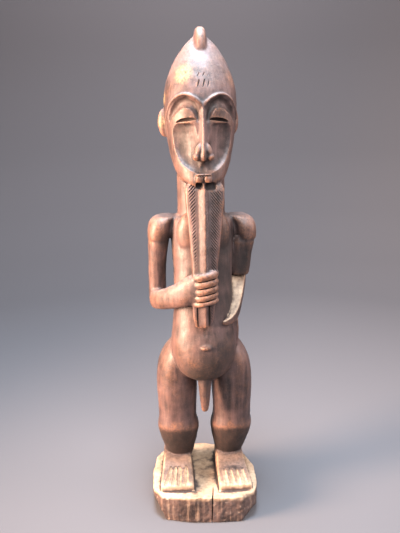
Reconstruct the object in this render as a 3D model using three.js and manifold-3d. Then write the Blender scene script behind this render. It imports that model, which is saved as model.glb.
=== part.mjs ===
// Standing bearded figure with its base, one solid carved from a single log.
// Millimetres, +Z up, front towards -Y. The origin is the middle of the base's underside.
// Right and left are the figure's own: its right arm, at -X, holds the beard.
import * as THREE from "three";
import { mergeVertices } from "three/addons/utils/BufferGeometryUtils.js";
import Module from "manifold-3d";

const wasm = await Module();
wasm.setup();

// Driving dimensions
const HEIGHT = 500;
const BASE_WIDTH = 114;
const BASE_DEPTH = 116;
const BASE_HEIGHT = 29;
const SHOULDER_WIDTH = 112;
const SHOULDER_TOP = 320;
const HIP_WIDTH = 103.5;
const KNEE_TOP = 89;
const LEG_SPACING = 60;
const LEG_SHIFT = 1.7;
const NECK_WIDTH = 49;
const HEAD_WIDTH = 71;
const CHIN = 350;
const BEARD_TIP = 214;
const FIST_TOP = 274;
const FIST_BOTTOM = 237;

// Helpers: closed solids, and smooth masses
function solid(geometry) {
  const bare = geometry.index ? geometry.toNonIndexed() : geometry.clone();
  bare.deleteAttribute("normal");
  bare.deleteAttribute("uv");
  const merged = mergeVertices(bare, 1e-4);
  const vertProperties = new Float32Array(merged.getAttribute("position").array);
  const triVerts = new Uint32Array(merged.index.array);
  return new wasm.Manifold(new wasm.Mesh({ numProp: 3, vertProperties, triVerts }));
}

const union = (solids) => solids.reduce((whole, piece) => whole.add(piece));

// Moves every vertex of a unit cylinder, whose axis is local y, by place(across, up, along)
function reshaped(segments, rows, place) {
  const geometry = new THREE.CylinderGeometry(1, 1, 1, segments, rows);
  const position = geometry.getAttribute("position");
  for (let i = 0; i < position.count; i++) {
    const along = position.getY(i) + 0.5;
    const point = place(position.getX(i), position.getZ(i), along);
    position.setXYZ(i, point.x, point.y, point.z);
  }
  return solid(geometry);
}

// A mass that stands upright. Each station is a height z with the section's middle x, half width,
// and its front and back in y. A roundness of 2 is an ellipse, and more is squarer.
function upright(stations, { roundness = 2.3, segments = 28, rows = 14 } = {}) {
  const heights = stations.map((s) => s.z);
  const sizes = stations.flatMap((s) => [s.x ?? 0, s.half, s.front, s.back]);
  const profile = new THREE.CubicInterpolant(heights, sizes, 4);
  const low = heights[0];
  const tall = heights.at(-1) - low;
  return reshaped(segments, rows, (across, up, along) => {
    const eased = along - Math.sin(2 * Math.PI * along) * 0.09;
    const z = low + tall * eased;
    const [x, half, front, back] = profile.evaluate(z);
    const turn = Math.atan2(-up, across);
    const reach = Math.hypot(across, up);
    const [c, s] = [Math.cos(turn), Math.sin(turn)];
    const swell = (Math.abs(c) ** roundness + Math.abs(s) ** roundness) ** (-1 / roundness);
    const middle = (front + back) / 2;
    const deep = (back - front) / 2;
    return new THREE.Vector3(x + reach * swell * c * half, middle + reach * swell * s * deep, z);
  });
}

// A mass swept along a curve. Each station is a point with half sizes, wide sideways and tall upwards.
function limb(stations, { segments = 12, rows = 9 } = {}) {
  const path = new THREE.CatmullRomCurve3(stations.map((s) => new THREE.Vector3(...s.at)));
  const steps = stations.map((s, i) => i / (stations.length - 1));
  const girth = new THREE.CubicInterpolant(steps, stations.flatMap((s) => [s.wide, s.tall]), 2);
  const vertical = new THREE.Vector3(0, 0, 1);
  return reshaped(segments, rows, (across, up, along) => {
    const [wide, tall] = girth.evaluate(along);
    const ahead = path.getTangent(along);
    const side = new THREE.Vector3().crossVectors(ahead, vertical).normalize();
    const over = new THREE.Vector3().crossVectors(side, ahead);
    const point = path.getPoint(along);
    return point.addScaledVector(side, across * wide).addScaledVector(over, up * tall);
  });
}

function ellipsoid([x, y, z], [rx, ry, rz], detail = 12) {
  const ball = new THREE.SphereGeometry(1, detail, Math.round(detail * 0.7));
  return solid(ball.rotateX(Math.PI / 2).scale(rx, ry, rz).translate(x, y, z));
}

function block([x, y, z], [wide, deep, tall], turn = [0, 0, 0]) {
  const box = new THREE.BoxGeometry(wide, deep, tall);
  const spin = new THREE.Matrix4().makeRotationFromEuler(new THREE.Euler(...turn));
  return solid(box.applyMatrix4(spin).translate(x, y, z));
}

// A flat outline in y and z, pulled out sideways between two x places
function sideProfile(points, from, to) {
  const shape = new THREE.Shape(points.map(([y, z]) => new THREE.Vector2(y, z)));
  const geometry = new THREE.ExtrudeGeometry(shape, { depth: to - from, bevelEnabled: false });
  const yzToX = new THREE.Matrix4().set(0, 0, 1, from, 1, 0, 0, 0, 0, 1, 0, 0, 0, 0, 0, 1);
  return solid(geometry.applyMatrix4(yzToX));
}

// Base: a hewn slice of the log with clipped corners, hacked lower edges and a drying crack in front
const BASE_CORNERS = [
  [-0.82, -0.83],
  [-0.99, -0.6],
  [-1, 0.06],
  [-0.9, 0.52],
  [-0.72, 0.88],
  [-0.4, 0.98],
  [0.08, 1],
  [0.5, 0.85],
  [0.84, 0.58],
  [1, 0.05],
  [0.97, -0.58],
  [0.88, -0.82],
  [0.66, -0.99],
  [0.2, -1],
  [-0.3, -0.96],
];
const CRACK = { x: 6, width: 2.6, depth: 21 };
function base() {
  const [halfWide, halfDeep] = [BASE_WIDTH / 2, BASE_DEPTH / 2];
  const corners = BASE_CORNERS.map(([x, y]) => new THREE.Vector2(x * halfWide, y * halfDeep));
  const slab = new THREE.ExtrudeGeometry(new THREE.Shape(corners), {
    depth: BASE_HEIGHT - 2,
    bevelThickness: 2,
    bevelSize: 1.6,
    bevelOffset: -1.6,
    bevelSegments: 1,
  });
  const crackPlan = new THREE.Shape([
    new THREE.Vector2(-CRACK.width / 2, -halfDeep - 1),
    new THREE.Vector2(CRACK.width / 2, -halfDeep - 1),
    new THREE.Vector2(0.4, -halfDeep + CRACK.depth),
  ]);
  const crack = new THREE.ExtrudeGeometry(crackPlan, { depth: BASE_HEIGHT + 4, bevelEnabled: false });
  return solid(slab)
    .trimByPlane([0, 0, 1], 0)
    .trimByPlane([0.9, 0.24, 0.36], -0.88 * halfWide)
    .trimByPlane([-0.784, 0.499, 0.371], -0.995 * halfWide)
    .subtract(solid(crack.translate(CRACK.x, 0, -2)));
}

// Feet: flat slabs with a sloping instep, and grooves that part the five toes
const FOOT = { toe: -44, root: -20, heel: 34, inner: 14, outerToe: 49, outerHeel: 43, groove: 2.4 };
function foot(side) {
  const across = (x) => side * x;
  const plan = new THREE.Shape();
  plan.moveTo(across(FOOT.inner), FOOT.toe);
  plan.lineTo(across(FOOT.outerToe), FOOT.toe + 3);
  plan.lineTo(across(FOOT.outerHeel + 1), FOOT.heel - 14);
  plan.quadraticCurveTo(across(FOOT.outerHeel - 2), FOOT.heel, across(28), FOOT.heel);
  plan.quadraticCurveTo(across(FOOT.inner), FOOT.heel, across(FOOT.inner), FOOT.heel - 14);
  plan.closePath();
  const low = BASE_HEIGHT - 2;
  const slab = new THREE.ExtrudeGeometry(plan, { depth: 24, curveSegments: 5, bevelEnabled: false });
  const instep = sideProfile(
    [
      [FOOT.toe - 2, low],
      [FOOT.heel + 2, low],
      [FOOT.heel + 2, BASE_HEIGHT + 16],
      [4, BASE_HEIGHT + 20],
      [FOOT.root, BASE_HEIGHT + 11.5],
      [FOOT.toe, BASE_HEIGHT + 7.5],
      [FOOT.toe - 2, BASE_HEIGHT + 5],
    ],
    -BASE_WIDTH / 2,
    BASE_WIDTH / 2,
  );
  let whole = solid(slab.translate(0, 0, low)).intersect(instep);
  for (let gap = 1; gap < 5; gap++) {
    const share = gap / 5;
    const front = across(FOOT.inner + (FOOT.outerToe - FOOT.inner) * share);
    const grooveLength = FOOT.root - FOOT.toe + 2;
    const middle = [front, (FOOT.root + FOOT.toe) / 2 - 1, BASE_HEIGHT + 7];
    whole = whole.subtract(block(middle, [FOOT.groove, grooveLength, 12]));
  }
  return whole;
}

// Legs: thick thighs, a knee edge that stands forward, and calves that swell back over the ankle
const THIGH_HALF = (HIP_WIDTH - LEG_SPACING) / 2;
function leg(side) {
  const middle = LEG_SHIFT + (side * LEG_SPACING) / 2;
  const stations = [
    { z: 40, x: middle - side * 2.4, half: 14, front: 3, back: 30 },
    { z: 46, x: middle - side * 2.4, half: 14.8, front: 1, back: 30 },
    { z: 54, x: middle - side * 2, half: 16.8, front: -3, back: 31.5 },
    { z: 63, x: middle - side * 1.5, half: 19.2, front: -8, back: 33.5 },
    { z: 73, x: middle - side, half: 21.5, front: -12.5, back: 33 },
    { z: 81, x: middle - side, half: 22.7, front: -16, back: 30.5 },
    { z: KNEE_TOP, x: middle - side * 0.6, half: 21.6, front: -17.5, back: 27.5 },
    { z: 97, x: middle, half: 20.4, front: -16, back: 26.5 },
    { z: 110, x: middle, half: 21, front: -16.5, back: 28.5 },
    { z: 128, x: middle, half: THIGH_HALF + 0.4, front: -18, back: 34 },
    { z: 143, x: middle, half: THIGH_HALF + 0.3, front: -19, back: 40 },
    { z: 155, x: middle - side, half: THIGH_HALF, front: -20, back: 43 },
    { z: 166, x: middle - side * 3, half: 20.2, front: -21, back: 40 },
    { z: 177, x: middle - side * 6.5, half: 17, front: -18, back: 32 },
    { z: 186, x: middle - side * 10.5, half: 12, front: -12, back: 22 },
  ];
  return upright(stations, { roundness: 2.4, segments: 16, rows: 12 });
}

// Torso: a column that swells to a round belly below, with a navel, and chest pads above
function torso() {
  const stations = [
    { z: 147, half: 13, front: -25, back: 22 },
    { z: 151, half: 22, front: -33, back: 30 },
    { z: 159, half: 29, front: -40, back: 35 },
    { z: 170, half: 33, front: -44, back: 35 },
    { z: 182, half: 34.3, front: -44.5, back: 29 },
    { z: 195, half: 33.2, front: -42, back: 23 },
    { z: 211, half: 31.6, front: -38, back: 20 },
    { z: 230, half: 30.4, front: -34.5, back: 20 },
    { z: 252, half: 29.8, front: -31.5, back: 22 },
    { z: 273, half: 31, front: -29.5, back: 26 },
    { z: 292, half: 32.6, front: -28.5, back: 29.5 },
    { z: 306, half: 33, front: -26.5, back: 30 },
    { z: 315, half: 31, front: -23.5, back: 27.5 },
    { z: SHOULDER_TOP, half: 26, front: -19, back: 23 },
  ];
  const column = upright(stations, { roundness: 2.35, segments: 22, rows: 13 });
  const chest = [-1, 1].map((side) => ellipsoid([side * 16.5, -22.5, 300], [12.5, 9.5, 15.5]));
  const navel = ellipsoid([0, -44, 188], [5.5, 3.5, 3.6], 10);
  const sex = upright(
    [
      { z: 112, half: 2.4, front: -27.5, back: -22.5 },
      { z: 115, half: 4.2, front: -29.5, back: -20.5 },
      { z: 122, half: 5, front: -30.5, back: -19.5 },
      { z: 136, half: 6.4, front: -32, back: -18 },
      { z: 150, half: 7.4, front: -32.5, back: -16 },
      { z: 160, half: 7.4, front: -32, back: -14 },
    ],
    { segments: 12, rows: 6 },
  );
  return union([column, ...chest, navel, sex]);
}

// Shoulders and arms: rounded caps with a ledge below, the right fist at the beard, the left on the belly
const SHOULDER_X = SHOULDER_WIDTH / 2 - 15.5;
function shoulder(side) {
  const stations = [
    { z: 293, x: side * SHOULDER_X, half: 13.4, front: -13, back: 22 },
    { z: 299, x: side * SHOULDER_X, half: 15.2, front: -17, back: 25 },
    { z: 306, x: side * (SHOULDER_X - 0.3), half: 15, front: -18, back: 26 },
    { z: 314, x: side * (SHOULDER_X - 2.5), half: 13, front: -15.5, back: 24 },
    { z: SHOULDER_TOP - 1.5, x: side * (SHOULDER_X - 5.5), half: 9, front: -10, back: 19 },
  ];
  return upright(stations, { roundness: 2.6, segments: 16, rows: 6 });
}

function rightArm() {
  const upper = upright(
    [
      { z: 219, x: -47.4, half: 6.5, front: 2, back: 18 },
      { z: 224, x: -47.4, half: 9, front: -2, back: 24 },
      { z: 236, x: -47.2, half: 9.4, front: -3, back: 25 },
      { z: 262, x: -46.8, half: 9.2, front: -6, back: 22 },
      { z: 282, x: -46.2, half: 9.3, front: -9, back: 21 },
      { z: 297, x: -43, half: 12, front: -12, back: 22 },
    ],
    { segments: 14, rows: 8 },
  );
  const forearm = limb(
    [
      { at: [-48, 14, 229], wide: 7, tall: 8.5 },
      { at: [-47.6, 0, 231], wide: 8.8, tall: 10 },
      { at: [-43, -17, 234.5], wide: 8.8, tall: 10.6 },
      { at: [-30.5, -32, 241], wide: 8.4, tall: 11.6 },
      { at: [-17, -42, 249], wide: 8.2, tall: 14 },
      { at: [-6, -45.5, 253.5], wide: 9, tall: 17 },
      { at: [3, -46, 255], wide: 8, tall: 16 },
    ],
    { segments: 14, rows: 12 },
  );
  return union([upper, forearm, ...fingers()]);
}

// Fist: the thumb on top and four fingers, one below the other, around the front of the beard
const DIGIT_HEIGHTS = [8.6, 8, 7.4, 6.8, 5.8];
const DIGIT_RISE = 3.4;
function fingers() {
  const total = DIGIT_HEIGHTS.reduce((sum, tall) => sum + tall);
  const squeeze = (FIST_TOP - FIST_BOTTOM) / total;
  let top = FIST_TOP - DIGIT_RISE;
  return DIGIT_HEIGHTS.map((height) => {
    const tall = (height * squeeze) / 2;
    const z = top - tall;
    top -= 2 * tall;
    return limb(
      [
        { at: [-14, -45, z - 1], wide: 5, tall: tall * 1.1 },
        { at: [-8, -51.5, z], wide: 4.6, tall: tall * 1.15 },
        { at: [2, -53.4, z + DIGIT_RISE * 0.5], wide: 4.4, tall: tall * 1.1 },
        { at: [9.5, -52, z + DIGIT_RISE], wide: 4.2, tall: tall * 1.05 },
        { at: [12, -45, z + DIGIT_RISE], wide: 3, tall },
      ],
      { segments: 8, rows: 5 },
    );
  });
}

function leftArm() {
  const upper = upright(
    [
      { z: 247, x: 42, half: 5.5, front: 6, back: 20 },
      { z: 253, x: 42, half: 8.4, front: 0, back: 25 },
      { z: 266, x: 42, half: 9.4, front: -4, back: 24.5 },
      { z: 283, x: 42.4, half: 9.8, front: -8, back: 23 },
      { z: 297, x: 42, half: 12, front: -12, back: 22 },
    ],
    { segments: 14, rows: 6 },
  );
  const forearm = limb(
    [
      { at: [40.5, 18, 257], wide: 7, tall: 6.5 },
      { at: [40, 7, 248], wide: 8.6, tall: 8.4 },
      { at: [38, -5, 234], wide: 7.6, tall: 7.6 },
      { at: [34.5, -16, 222], wide: 6, tall: 6.4 },
      { at: [29.5, -26, 215.5], wide: 5, tall: 6 },
      { at: [24, -34, 213.5], wide: 3.6, tall: 5 },
      { at: [17.5, -39, 214], wide: 1.6, tall: 3 },
    ],
    { segments: 12, rows: 11 },
  );
  return union([upper, forearm]);
}

// Neck: a plain thick column, set a little back under the head
function neck() {
  const half = NECK_WIDTH / 2;
  const stations = [
    { z: 308, x: -0.6, half, front: -20, back: 26 },
    { z: 335, x: -0.8, half: half - 0.4, front: -20, back: 26 },
    { z: 362, x: -1, half: half - 0.2, front: -20, back: 27 },
    { z: 384, x: -1.2, half: half - 2, front: -18, back: 26 },
  ];
  return upright(stations, { roundness: 2.1, segments: 22, rows: 4 });
}

// Head: a pointed egg, scooped at the cheeks, with brow ridges, lidded eyes, nose, mouth and ears
const HEAD_X = -1.5;
const HEAD_HALF = HEAD_WIDTH / 2;
function skull() {
  const stations = [
    { z: CHIN, half: 9, front: -45, back: -22 },
    { z: 355, half: 18, front: -47.5, back: -10 },
    { z: 363, half: 24, front: -47.5, back: 6 },
    { z: 373, half: 28, front: -45.5, back: 19 },
    { z: 385, half: 31, front: -43.5, back: 28 },
    { z: 400, half: 33.4, front: -43, back: 33.5 },
    { z: 414, half: 34.8, front: -43, back: 36.5 },
    { z: 431, half: HEAD_HALF, front: -43, back: 38 },
    { z: 443, half: 34.4, front: -41, back: 37 },
    { z: 453, half: 31.7, front: -37.5, back: 34 },
    { z: 463, half: 27.6, front: -32.5, back: 29.5 },
    { z: 473, half: 22.2, front: -26, back: 24 },
    { z: 482, half: 15.4, front: -18, back: 17 },
    { z: 489, half: 8.8, front: -10.5, back: 10 },
    { z: 494, half: 1.5, front: -1.6, back: 1.6 },
  ].map((station) => ({ ...station, x: HEAD_X }));
  return upright(stations, { roundness: 2.25, segments: 28, rows: 15 });
}

function brow(side) {
  const at = (x, y, z) => [HEAD_X + side * x, y, z];
  return limb(
    [
      { at: at(0, -43, 428), wide: 2.4, tall: 3 },
      { at: at(7, -43.5, 434), wide: 2.6, tall: 2.4 },
      { at: at(17, -39.5, 438.5), wide: 2.6, tall: 2.2 },
      { at: at(26, -32, 434), wide: 2.4, tall: 2.2 },
      { at: at(32, -22, 423), wide: 2.2, tall: 2 },
      { at: at(33.5, -16, 412), wide: 1.2, tall: 1.2 },
    ],
    { segments: 8, rows: 7 },
  );
}

function face() {
  const nose = upright(
    [
      { z: 376, half: 7, front: -48, back: -34 },
      { z: 379, half: 10.4, front: -52, back: -34 },
      { z: 384, half: 9.2, front: -53, back: -33 },
      { z: 391, half: 5.6, front: -51.5, back: -32 },
      { z: 405, half: 4.2, front: -48.5, back: -32 },
      { z: 420, half: 3.2, front: -46, back: -34 },
      { z: 431, half: 4.6, front: -44.5, back: -36 },
    ].map((station) => ({ ...station, x: HEAD_X })),
    { roundness: 1.7, segments: 12, rows: 8 },
  );
  const sides = [-1, 1].flatMap((side) => [
    brow(side),
    ellipsoid([HEAD_X + side * 18, -32, 418], [12.5, 8.5, 8.5], 12),
    ellipsoid([HEAD_X + side * 4.2, -48.5, 360.5], [4, 4, 3.2], 10),
  ]);
  const lip = limb(
    [
      { at: [HEAD_X - 11, -44.5, 362], wide: 2, tall: 1.5 },
      { at: [HEAD_X - 5, -49, 365.3], wide: 3, tall: 2.2 },
      { at: [HEAD_X, -50, 365.6], wide: 3, tall: 2.2 },
      { at: [HEAD_X + 5, -49, 365.3], wide: 3, tall: 2.2 },
      { at: [HEAD_X + 11, -44.5, 362], wide: 2, tall: 1.5 },
    ],
    { segments: 8, rows: 8 },
  );
  return union([nose, lip, ...sides]);
}

function head() {
  const scoops = [-1, 1].flatMap((side) => [
    ellipsoid([HEAD_X + side * 16, -47, 392], [14.5, 11, 21], 14),
    ellipsoid([HEAD_X + side * 18, -44, 419], [14.5, 11, 13.5], 14),
  ]);
  const slits = [-1, 1].map((side) =>
    block([HEAD_X + side * 18, -40, 413.5], [25, 14, 3], [0, 0, side * 0.35]),
  );
  const rightEar = ellipsoid([HEAD_X - 35, 4, 411], [6, 4.5, 14.5]);
  const leftEar = ellipsoid([HEAD_X + 33, 11, 411], [6, 4.5, 14.5]);
  const carved = scoops.reduce((rest, scoop) => rest.subtract(scoop), skull());
  const whole = union([carved, face(), crest(), rightEar, leftEar]);
  return slits.reduce((rest, slit) => rest.subtract(slit), whole);
}

// Crest: a rounded comb that runs over the crown from front to back
function crest() {
  const stations = [
    { z: 470, half: 5.8, front: -23.5, back: 27 },
    { z: 480, half: 5.7, front: -24, back: 25 },
    { z: 487, half: 5.4, front: -23.5, back: 20.5 },
    { z: 493, half: 4.8, front: -20, back: 14.5 },
    { z: 497, half: 3.8, front: -14.5, back: 9 },
    { z: HEIGHT, half: 1.8, front: -7, back: 3 },
  ].map((station) => ({ ...station, x: HEAD_X }));
  return upright(stations, { roundness: 2.8, segments: 14, rows: 7 });
}

// Beard: a long board from the chin to below the fist, with a plain ridge down its middle
function beard() {
  const board = [
    { z: BEARD_TIP, half: 7.5, front: -48, back: -40 },
    { z: 224, half: 10, front: -50.5, back: -40 },
    { z: 255, half: 11.4, front: -51.5, back: -38 },
    { z: 285, half: 13, front: -51, back: -37.5 },
    { z: 315, half: 16.2, front: -49, back: -36.5 },
    { z: 345, half: 19, front: -46.5, back: -34 },
    { z: 358, half: 18, front: -44.5, back: -32 },
  ].map((station) => ({ ...station, x: HEAD_X + 0.5 }));
  const ridge = [
    { z: BEARD_TIP, half: 3.4, front: -52, back: -42 },
    { z: 255, half: 4.6, front: -56.5, back: -42 },
    { z: 310, half: 5.2, front: -55, back: -42 },
    { z: 340, half: 5.2, front: -51.5, back: -40 },
    { z: 358, half: 2.6, front: -48, back: -38 },
  ].map((station) => ({ ...station, x: HEAD_X + 0.5 }));
  return union([
    upright(board, { roundness: 3.2, segments: 16, rows: 8 }),
    upright(ridge, { roundness: 1.6, segments: 8, rows: 7 }),
  ]);
}

const SIDES = [-1, 1];
const figureSolid = union([
  base(),
  ...SIDES.map(foot),
  ...SIDES.map(leg),
  torso(),
  ...SIDES.map(shoulder),
  rightArm(),
  leftArm(),
  neck(),
  head(),
  beard(),
]);

const carved = figureSolid.getMesh();
const geometry = new THREE.BufferGeometry();
geometry.setAttribute("position", new THREE.BufferAttribute(carved.vertProperties, 3));
geometry.setIndex(new THREE.BufferAttribute(carved.triVerts, 1));
geometry.computeVertexNormals();

const patinatedWood = new THREE.MeshStandardMaterial({ color: 0x4a2c20, roughness: 0.5, metalness: 0 });
const figure = new THREE.Mesh(geometry, patinatedWood);
figure.name = "carved_figure";

const group = new THREE.Group();
group.add(figure);

export default group;
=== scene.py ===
from math import atan, cos, pi, radians, sin

import bmesh
import bpy
import numpy as np
from mathutils import Matrix, Vector
from mathutils.bvhtree import BVHTree


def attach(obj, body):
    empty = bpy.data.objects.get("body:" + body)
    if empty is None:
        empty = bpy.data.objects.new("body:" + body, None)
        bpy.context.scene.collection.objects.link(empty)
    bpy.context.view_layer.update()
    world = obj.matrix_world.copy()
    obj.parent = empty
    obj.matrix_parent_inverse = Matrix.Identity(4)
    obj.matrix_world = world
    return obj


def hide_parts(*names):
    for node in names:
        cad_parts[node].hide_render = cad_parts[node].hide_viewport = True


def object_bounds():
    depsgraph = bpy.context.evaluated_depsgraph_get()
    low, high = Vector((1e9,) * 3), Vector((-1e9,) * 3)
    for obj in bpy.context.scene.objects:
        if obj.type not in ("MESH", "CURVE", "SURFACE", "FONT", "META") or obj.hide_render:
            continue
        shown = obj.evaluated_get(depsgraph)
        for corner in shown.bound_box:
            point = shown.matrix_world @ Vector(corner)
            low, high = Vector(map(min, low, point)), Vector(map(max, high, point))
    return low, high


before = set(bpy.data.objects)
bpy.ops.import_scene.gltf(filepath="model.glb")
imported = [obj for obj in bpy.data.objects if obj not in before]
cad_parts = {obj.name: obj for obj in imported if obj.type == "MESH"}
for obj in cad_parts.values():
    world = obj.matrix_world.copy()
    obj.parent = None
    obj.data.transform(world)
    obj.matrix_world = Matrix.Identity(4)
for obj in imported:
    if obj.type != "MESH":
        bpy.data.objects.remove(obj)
cad_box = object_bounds()

# Base: a slice of the log left under the feet, hewn with a blade to a rough plan of straight sides, and
# hacked away at a slant along its edges. The carving is worked out in millimetres, with the front
# towards -Y and the figure's right at -X. The finished mesh is brought to the frame's metres at the end.
FIGURE_HEIGHT = 500
MM = (cad_box[1].z - cad_box[0].z) / FIGURE_HEIGHT
BASE_TOP = 29
BASE_CORNERS = [
    (-47, -48), (-56.4, -35), (-57, 4), (-52, 30), (-41, 51), (-22, 57), (5, 58), (29, 49),
    (48, 33), (57, 3), (55, -34), (50, -48), (37, -57.5), (11, -58), (-17, -56),
]
HACKED = [
    ((-57, -34, 25), (-0.90, -0.24, -0.36)),
    ((36, -57, 0), (0.784, -0.499, -0.371)),
    ((57, 20, 6), (0.86, 0.10, -0.50)),
    ((-10, 58, 5), (-0.10, 0.86, -0.50)),
    ((-20, -56, 27), (-0.25, -0.72, 0.65)),
    ((45, -53, 26.5), (0.40, -0.62, 0.68)),
    ((-55, 10, 27), (-0.72, 0.05, 0.69)),
    ((52, 30, 27), (0.60, 0.35, 0.72)),
]


def all_of(bm):
    return bm.verts[:] + bm.edges[:] + bm.faces[:]


def kind_of(geom, kind):
    return [part for part in geom if isinstance(part, kind)]


hewn = bmesh.new()
rim = bmesh.ops.create_circle(hewn, cap_ends=True, segments=len(BASE_CORNERS), radius=1)["verts"]
for vert, (x, y) in zip(rim, BASE_CORNERS):
    vert.co = (x, y, 0)
raised_top = bmesh.ops.extrude_face_region(hewn, geom=hewn.faces[:])["geom"]
bmesh.ops.translate(hewn, vec=(0, 0, BASE_TOP), verts=kind_of(raised_top, bmesh.types.BMVert))
for place, outwards in HACKED:
    opened = bmesh.ops.bisect_plane(
        hewn, geom=all_of(hewn), plane_co=place, plane_no=outwards, clear_outer=True
    )["geom_cut"]
    bmesh.ops.contextual_create(hewn, geom=kind_of(opened, bmesh.types.BMEdge))


# Feet: flat blocks of the same wood left standing on the base, square at the edges, highest at the ankle
# and sloping to the toes. The left one reaches further forward. The toes are only cut apart later.
def pull(bm, frames, sides=24, square=2.3):
    """Pulls one rounded ring through a row of frames and closes both ends."""
    ring = bmesh.ops.create_circle(bm, segments=sides, radius=1)["verts"]
    for vert in ring:
        vert.co /= (abs(vert.co.x) ** square + abs(vert.co.y) ** square) ** (1 / square)
    bmesh.ops.transform(bm, matrix=frames[0], verts=ring)
    edges = list({edge for vert in ring for edge in vert.link_edges})
    ends = [edges]
    for before, after in zip(frames, frames[1:]):
        made = bmesh.ops.extrude_edge_only(bm, edges=edges)["geom"]
        ring = set(kind_of(made, bmesh.types.BMVert))
        edges = [edge for edge in kind_of(made, bmesh.types.BMEdge) if ring.issuperset(edge.verts)]
        bmesh.ops.transform(bm, matrix=after @ before.inverted(), verts=list(ring))
    for end in ends + [edges]:
        bmesh.ops.contextual_create(bm, geom=end)


def lying(stations):
    """Frames along Y: each station is y, middle x, half width, underside z and top z."""
    turned = Matrix.Rotation(pi / 2, 4, "X")
    return [
        Matrix.Translation((x, y, (low + high) / 2))
        @ turned
        @ Matrix.Diagonal((half, (high - low) / 2, 1, 1))
        for y, x, half, low, high in stations
    ]


for side, forward in ((-1, 0), (1, 2.6)):
    pull(hewn, lying([
        (-43.4 - forward, side * 31, 16.4, 27, 34.5), (-42.6 - forward, side * 31, 17.6, 26, 36.4),
        (-38 - forward, side * 31, 17.8, 26, 37.6), (-30, side * 30.6, 17.6, 26, 39),
        (-20, side * 30.2, 17, 26, 41), (-8, side * 29.6, 16.4, 26, 45.5), (4, side * 29.2, 15.6, 26, 50),
        (18, side * 29, 15, 26, 52), (30, side * 29, 14.4, 26, 50), (35, side * 29, 12.5, 27, 46),
    ]), sides=24, square=7)

# Legs: short, thick and rounded, carved bent at the knee. The knee is a soft edge that stands forward, the
# shin slopes back below it and ends round over the foot, and the calf swells out behind.
LEG_MIDDLE = 30
LEG_SHIFT = 1.7
LEG_STATIONS = [
    (38, 2.4, 13, 5, 30), (45, 2.4, 14.6, 1.5, 30), (50, 2.2, 15.8, -1.5, 31), (57, 1.9, 17.7, -5, 32.5),
    (66, 1.4, 20, -9.6, 34), (75, 1.0, 22, -13.6, 33), (82, 0.9, 22.9, -16.6, 30.5),
    (87, 0.7, 22.6, -18.3, 28.3), (90.5, 0.4, 21.6, -18.2, 27.2), (97, 0, 20.5, -16.6, 26.4),
    (110, 0, 21, -16.8, 28.5), (125, 0, 22, -18, 33.5), (140, 0, 22.1, -19, 39.5), (152, 0.8, 22, -20, 43.5),
    (163, 2.4, 20.8, -21, 41.5), (174, 5.2, 18.4, -20.6, 34.5), (184, 8.8, 14.6, -18, 25),
    (192, 12.4, 10, -12, 19), (196, 14, 6, -6, 14),
]
soft = bmesh.new()


def standing(stations):
    """Frames up Z: each station is z, middle x, half width, front y and back y."""
    return [
        Matrix.Translation((x, (front + back) / 2, z)) @ Matrix.Diagonal((half, (back - front) / 2, 1, 1))
        for z, x, half, front, back in stations
    ]


for side in (-1, 1):
    pull(soft, standing([
        (z, LEG_SHIFT + side * (LEG_MIDDLE - inwards), half, front, back)
        for z, inwards, half, front, back in LEG_STATIONS
    ]), sides=24, square=2.4)

# Torso: a smooth column that swells to a round belly hanging over the thighs, with a small lip of a navel,
# two soft upright chest pads, full buttocks, a low ridge on the left flank and the sex below the belly.
pull(soft, standing([
    (146, 0, 10, -22, 18), (149, 0, 19, -30, 27), (154, 0, 26, -36.5, 33), (161, 0, 30.4, -41, 35),
    (170, 0, 33.2, -44, 34), (180, 0, 34.4, -45, 30), (190, 0, 34, -43.8, 25), (202, 0, 32.6, -40.6, 21.5),
    (216, 0, 31.2, -37, 20), (232, 0, 30.3, -34.2, 20), (250, 0, 29.9, -31.6, 22), (268, 0, 30.4, -29.4, 25),
    (286, 0, 31.6, -27.6, 28.5), (300, 0, 32.4, -26, 30), (310, 0, 32.6, -24.6, 29.4),
    (316, 0, 31.6, -22.6, 28), (319.6, 0, 28, -20, 25), (321.6, 0, 19, -14, 18),
]), sides=32, square=2.35)


def ball(bm, middle, radii, turn=(0, 0, 0), detail=16):
    """A rounded lump: a sphere stretched to three radii and turned about X, Y and Z."""
    turned = Matrix.Rotation(turn[1], 4, "Y") @ Matrix.Rotation(turn[0], 4, "X")
    turned = Matrix.Rotation(turn[2], 4, "Z") @ turned
    matrix = Matrix.Translation(middle) @ turned @ Matrix.Diagonal((*radii, 1))
    bmesh.ops.create_uvsphere(bm, u_segments=detail, v_segments=detail // 2, radius=1, matrix=matrix)


NAVEL = (0, -43.8, 190.2)
FLANK_RIDGE = (34.4, -10, 196)
for side in (-1, 1):
    chest_pad = (side * 14.4, -18.6, 302)
    buttock = (side * 21.5, 20, 157)
    ball(soft, chest_pad, (12.4, 8.4, 23), turn=(0.06, 0, side * 0.24), detail=24)
    ball(soft, buttock, (22.5, 23.5, 27), detail=24)
ball(soft, NAVEL, (5.6, 3.2, 2.6))
ball(soft, FLANK_RIDGE, (3, 4.4, 19))
pull(soft, standing([
    (111.5, 0, 2.2, -27, -22), (114, 0, 3.8, -29, -20), (121, 0, 4.8, -30.5, -19), (134, 0, 6.2, -32, -17),
    (148, 0, 7.4, -33, -15), (160, 0, 7.6, -32, -14),
]), sides=16)

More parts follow.
